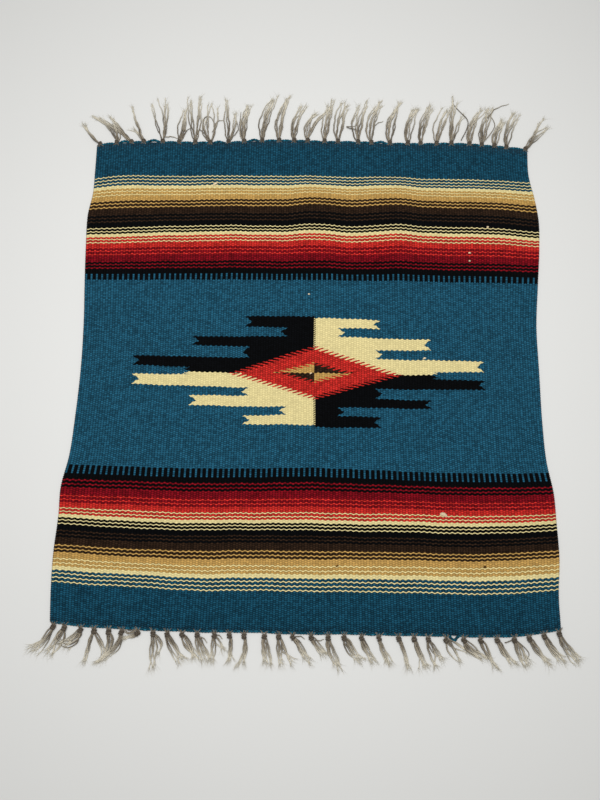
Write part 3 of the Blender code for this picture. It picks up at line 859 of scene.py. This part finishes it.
def knotPaths(end):
    # a knot is turns of yarn round the tassel's axis, flattened to 0.6 of their width:
    # centre + axis (offset + tilt cos a) + radius (cos a * aside + 0.6 sin a * up)
    plan = fringePlan
    turns = plan["knotTurns"]
    across = np.array([row[0] for row in end["tassels"]])
    lean = np.array([row[1][0][0] for row in end["tassels"]], float)
    reach = np.array([row[1][0][1] for row in end["tassels"]], float)
    slant = np.arctan2(lean, reach) * 0.6
    axis = np.stack([np.sin(slant), end["outward"] * np.cos(slant), 0 * slant], axis=-1)
    aside = np.cross(axis, up)
    out = edgeAt(end, across) + end["outward"] * end["knotOffset"]
    centre = np.stack([across, out, 0 * across + plan["knotHeight"]], axis=-1)
    angle = np.linspace(0, 2.15 * math.pi, 20)
    draw = np.random.default_rng(end["seed"] + 5)
    paths, radii = [], []
    for turn in range(turns):
        place = turn - (turns - 1) / 2
        offset = place * plan["turnSpacing"] + draw.normal(0, 0.12, (len(across), 1))
        tilt = 0.75 * (1 if turn % 2 else 0.4) + draw.normal(0, 0.15, (len(across), 1))
        phase = draw.uniform(0, 2 * math.pi, (len(across), 1))
        wide = plan["knotRadius"] * (1 - 0.16 * abs(place)) * draw.uniform(0.93, 1.07, (len(across), 1))
        a = (angle + phase)[..., None]
        ring = np.cos(a) * aside[:, None] + 0.6 * np.sin(a) * up
        path = centre[:, None] + axis[:, None] * (offset + tilt * np.cos(angle))[..., None]
        path = path + wide[..., None] * ring
        paths.append(path)
        radii.append(np.full(path.shape[:2], plan["turnRadius"]))
    return np.concatenate(paths), np.concatenate(radii), np.concatenate([axis] * turns)[:, None]


def neckPaths(end, draw):
    # warps come out of the cloth's edge beside each other and run together into the knot:
    # across = knot + spread (1 - t)^1.4
    necks = fringePlan["necks"]
    across = np.repeat([row[0] for row in end["tassels"]], necks)
    count = len(across)
    fan = np.tile(np.linspace(-1, 1, necks), len(end["tassels"]))
    spread = fan * end["neckSpread"] + draw.normal(0, 0.6, count)
    t = np.linspace(0, 1, 7)[None, :]
    x = across[:, None] + spread[:, None] * (1 - t) ** 1.4
    inside = 1.3 + draw.uniform(-0.9, 0.9, (count, 1))
    out = -inside + (end["knotOffset"] + inside) * t
    y = edgeAt(end, across)[:, None] + end["outward"] * out
    z = 2.35 - 0.75 * t + 0.25 * np.sin(math.pi * t)
    return np.stack([x, y, z * np.ones_like(x)], axis=-1), np.full(x.shape, fringePlan["neckRadius"])


def strayPaths(end, draw):
    # one yarn through the charted places, with a little crimp, sinking from the knot's height to the floor
    t = np.linspace(0, 1, 24)
    paths = []
    for route in end["strays"]:
        place = curveThrough(np.linspace(0, 1, len(route)), route, t)
        wave = 0.25 * np.sin(t * draw.uniform(12, 20) + draw.uniform(0, 6))
        height = 0.6 + 1.6 * (1 - t) ** 2 + 0.5 * np.sin(math.pi * t)
        paths.append(np.stack([place[:, 0] + wave, place[:, 1] - wave, height], axis=-1))
    paths = np.array(paths)
    return paths, np.full(paths.shape[:2], fringePlan["strayRadius"]) * (1 - 0.4 * t**3)


def buildFringe(end, material):
    # one row of knotted tassels, joined in one mesh: yarns, loose fibres, knots and necks
    draw = np.random.default_rng(end["seed"])
    yarns, yarnRadii = yarnPaths(end, draw)
    hairs, hairRadii = hairPaths(yarns, draw)
    knots, knotRadii, knotAxes = knotPaths(end)
    necks, neckRadii = neckPaths(end, draw)
    strays, strayRadii = strayPaths(end, draw)
    points, faces, yarnMap, lengths = [], [], [], []
    used = 0
    # the paths, their radii, the sides of their tubes, what those are square to, and the shares along a yarn
    # that they stand for
    groups = (
        (yarns, yarnRadii, fringePlan["sides"], up, (0.0, 1.0)),
        (hairs, hairRadii, 3, up, (0.9, 1.0)),
        (knots, knotRadii, 7, knotAxes, (0.0, 0.0)),
        (necks, neckRadii, 5, up, (0.04, 0.04)),
        (strays, strayRadii, 6, up, (0.15, 0.62)),
    )
    for centres, radii, sides, reference, (low, high) in groups:
        tubes = tubeArrays(centres, radii, sides, reference)
        tone = draw.uniform(0, 1, len(centres))
        mapped = tubeYarnMap(centres, sides, tone)
        mapped = mapped * [high - low, 1, 1] + [low, 0, 0]
        grid = tubeFaces(len(centres), centres.shape[1], sides)
        faces += [[used + corner for corner in face] for face in grid]
        points.append(tubes.reshape(-1, 3))
        yarnMap.append(mapped.reshape(-1, 3))
        lengths.append(tubeLengthMap(centres, sides).reshape(-1, 3))
        used += tubes.size // 3
    attributes = {"yarn": np.concatenate(yarnMap), "yarnLength": np.concatenate(lengths)}
    piece = makePiece(end["name"], np.concatenate(points), faces, material, attributes)
    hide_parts(end["node"])
    return piece


# the warp's colours, from knot to frayed tip
fringeColours = {
    "knot": "#766C5F",
    "yarn": "#70675A",
    "pale": "#A99E8B",
    "shadow": "#352E27",
    "tip": "#E6DFCC",
}


def warpYarn():
    # Undyed grey-brown wool warp, plied of two strands: matt and crimped, with the ply's turns about 2 mm
    # apart as fine slanting lines of painted shade, painted shade on the flanks, and frayed ends bleached to
    # a pale cream.
    material, add, shader = newMaterial("plyedWarpWool", 0.93, 0.12)
    tree = material.node_tree
    colours = {name: linearColour(value) for name, value in fringeColours.items()}
    place = add("SeparateXYZ", {0: add("Attribute", attribute_name="yarn").outputs["Vector"]})
    share, turn, tone = (place.outputs[axis] for axis in "XYZ")
    routed = add("SeparateXYZ", {0: add("Attribute", attribute_name="yarnLength").outputs["Vector"]})
    length, flank = routed.outputs["X"], routed.outputs["Y"]
    tied = add("MapRange", {0: share, 1: 0.0, 2: 0.08, 3: 1.0, 4: 0.0})
    body = add("Mix", {0: tone, 6: colours["yarn"], 7: colours["pale"]}, data_type="RGBA")
    body = add("Mix", {0: tied, 6: body, 7: colours["knot"]}, data_type="RGBA")
    fade = add("MapRange", {0: share, 1: 0.35, 2: 1.0, 3: 0.0, 4: 1.0})
    faded = add("Mix", {0: fade, 6: body, 7: colours["tip"]}, data_type="RGBA")
    twist = add("Math", {0: turn, 1: 2.0}, operation="MULTIPLY")
    plies = add("Math", {0: length, 1: 0.5, 2: twist}, operation="MULTIPLY_ADD")
    wave = add("Math", {0: add("Math", {0: plies, 1: 2 * math.pi}, operation="MULTIPLY")}, operation="SINE")
    # the ply's turns as painted shade in the groove between the two plies
    grooveShade = add("MapRange", {0: wave, 1: -1.0, 2: -0.2, 3: 1.0, 4: 0.0})
    # painted shade on the flanks of a yarn, where the next one would shade it, less in knots and towards the
    # tips
    shaded = add("MapRange", {0: flank, 1: 0.5, 2: 0.9, 3: 0.0, 4: 1.0})
    crowded = add("Math", {0: fade, 1: -0.75, 2: 1.0}, operation="MULTIPLY_ADD")
    crowded = add("Math", {0: tied, 1: -0.3, 2: crowded}, operation="MULTIPLY_ADD")
    shaded = add("Math", {0: shaded, 1: crowded}, operation="MULTIPLY")
    shadeDepth = add("Math", {0: grooveShade, 1: 0.3, 2: shaded}, operation="MULTIPLY_ADD")
    shadedYarn = add("Mix", {0: shadeDepth, 6: faded, 7: colours["shadow"]}, data_type="RGBA")
    where = add("TexCoord").outputs["Object"]
    fibres = add("TexNoise", {0: where, 2: 900.0, 3: 4.0, 4: 0.6})
    value = add("MapRange", {0: fibres, 1: 0.25, 2: 0.75, 3: 0.72, 4: 1.22})
    finished = add("HueSaturation", {"Color": shadedYarn, "Value": value})
    tree.links.new(finished.outputs[0], shader.inputs["Base Color"])
    rough = add("Math", {0: fibres, 1: 0.12}, operation="MULTIPLY")
    relief = add("Math", {0: wave, 1: 0.12, 2: rough}, operation="MULTIPLY_ADD")
    # single fibres are too thin for plies
    plain = add("MapRange", {0: share, 1: 0.6, 2: 0.9, 3: 1.0, 4: 0.0})
    bump = add("Bump", {"Strength": plain, "Distance": mm, "Height": relief})
    tree.links.new(bump.outputs[0], shader.inputs["Normal"])
    return material


# The room

roomPlan = {
    "floorColour": "#D8D8D6",
    "floorSize": 6.0,
    "cameraPlace": (-0.0073, -0.1738, 0.635),
    "cameraTurn": (12.2, 0.0, 0.8),  # degrees
    "lens": 27.05,
    "worldColour": "#F0F0EE",
    "worldStrength": 0.46,
    "lampPlace": (-0.04, 0.08, 0.95),
    "lampSize": 0.8,
    "lampPower": 8.9,
}


def buildRoom():
    # a flat square floor, an even surround, one soft lamp overhead, and the camera
    plane = bpy.data.meshes.new("floor")
    half = roomPlan["floorSize"] / 2
    corners = [(-half, -half, 0), (half, -half, 0), (half, half, 0), (-half, half, 0)]
    plane.from_pydata(corners, [], [(0, 1, 2, 3)])
    # a satin painted floor, plain and pale
    paint = bpy.data.materials.new("palePaint")
    paint.use_nodes = True
    shader = paint.node_tree.nodes["Principled BSDF"]
    shader.inputs["Base Color"].default_value = linearColour(roomPlan["floorColour"])
    shader.inputs["Roughness"].default_value = 0.6
    plane.materials.append(paint)
    floor = bpy.data.objects.new("floor", plane)
    bpy.context.scene.collection.objects.link(floor)

    world = bpy.data.worlds.new("softRoom")
    world.use_nodes = True
    background = world.node_tree.nodes["Background"]
    background.inputs["Color"].default_value = linearColour(roomPlan["worldColour"])
    background.inputs["Strength"].default_value = roomPlan["worldStrength"]
    bpy.context.scene.world = world

    light = bpy.data.lights.new("ceiling", "AREA")
    light.shape = "SQUARE"
    light.size = roomPlan["lampSize"]
    light.energy = roomPlan["lampPower"]
    lamp = bpy.data.objects.new("ceiling", light)
    lamp.location = roomPlan["lampPlace"]
    bpy.context.scene.collection.objects.link(lamp)

    lens = bpy.data.cameras.new("camera")
    lens.lens = roomPlan["lens"]
    lens.sensor_width = 36
    camera = bpy.data.objects.new("camera", lens)
    camera.location = roomPlan["cameraPlace"]
    camera.rotation_euler = tuple(math.radians(angle) for angle in roomPlan["cameraTurn"])
    bpy.context.scene.collection.objects.link(camera)
    bpy.context.scene.camera = camera
    bpy.context.scene.view_settings.view_transform = "Standard"


buildRoom()
print("room ready")
cloth = weaveClothMesh(woolWeave())
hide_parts("woven_cloth")
print("cloth woven:", len(cloth.data.polygons), "faces")
yarn = warpYarn()
fringes = [buildFringe(end, yarn) for end in (farEnd, nearEnd)]
print("fringes tied:", [len(piece.data.polygons) for piece in fringes], "faces")
